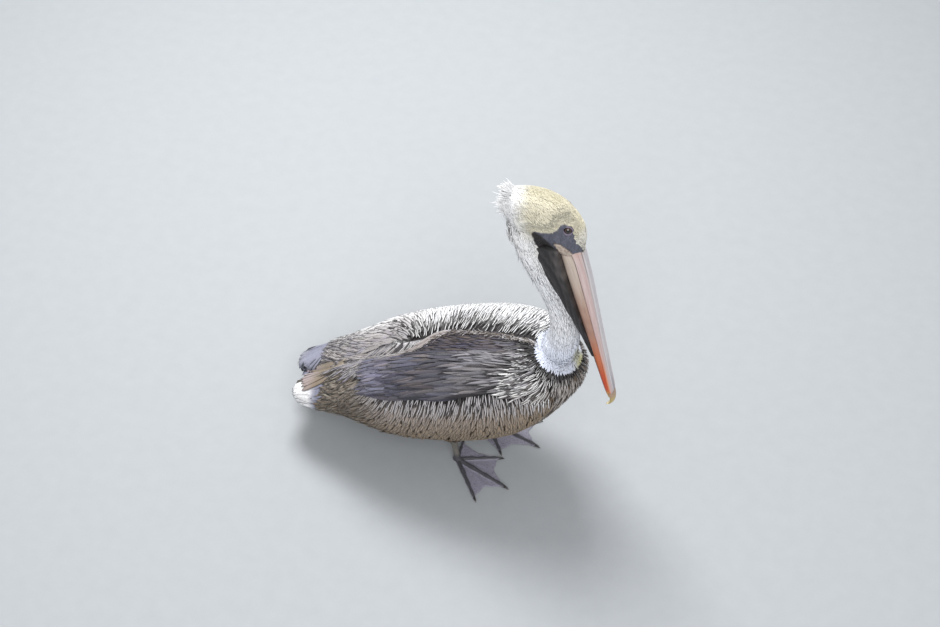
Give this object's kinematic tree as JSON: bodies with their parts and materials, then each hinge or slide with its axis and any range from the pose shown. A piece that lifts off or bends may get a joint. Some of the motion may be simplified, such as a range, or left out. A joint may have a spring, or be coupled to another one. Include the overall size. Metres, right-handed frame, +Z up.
{
  "type": "model of an adult brown pelican, standing",
  "caption": "Life-size model of an adult brown pelican standing on both feet, neck drawn up, wings folded and the long pouched bill laid down along its foreneck.",
  "frame": {"origin": "On the floor, under the middle of the whole bird's bounding box; the soles lie in the plane z = 0.", "axes": "+X is forwards, the way the breast and bill face; +Y is the bird's left; +Z is up."},
  "size_m": [0.5296, 0.2362, 0.5563],
  "materials": {
    "body_feathers": "soft matt feathers, dark brown below",
    "wing_feathers": "soft matt feathers, silver grey streaked with brown",
    "tail_feathers": "smooth matt feathers, blue grey",
    "neck_feathers": "short soft feathers, white",
    "crown_feathers": "short soft feathers, pale yellow",
    "eye": "wet gloss, dark brown",
    "bill_horn": "satin horn, pinkish grey",
    "nail_horn": "satin horn, yellowish",
    "pouch_skin": "folded bare skin, blackish brown",
    "foot_skin": "scaly bare skin, slate blue",
    "claw_horn": "smooth horn, blackish"
  },
  "bodies": {
    "root": {"bill_lower": "bill_horn", "bill_nail": "nail_horn", "bill_upper": "bill_horn", "claw_hallux_left": "claw_horn", "claw_hallux_right": "claw_horn", "claw_inner_left": "claw_horn", "claw_inner_right": "claw_horn", "claw_middle_left": "claw_horn", "claw_middle_right": "claw_horn", "claw_outer_left": "claw_horn", "claw_outer_right": "claw_horn", "crest": "crown_feathers", "eye_left": "eye", "eye_right": "eye", "foot_left": "foot_skin", "foot_right": "foot_skin", "head": "crown_feathers", "neck_lower": "neck_feathers", "neck_middle": "neck_feathers", "neck_upper": "neck_feathers", "pouch": "pouch_skin", "shank_left": "foot_skin", "shank_right": "foot_skin", "tail": "tail_feathers", "thigh_left": "body_feathers", "thigh_right": "body_feathers", "trunk": "body_feathers", "wing_left": "wing_feathers", "wing_right": "wing_feathers"}
  },
  "joints": []
}
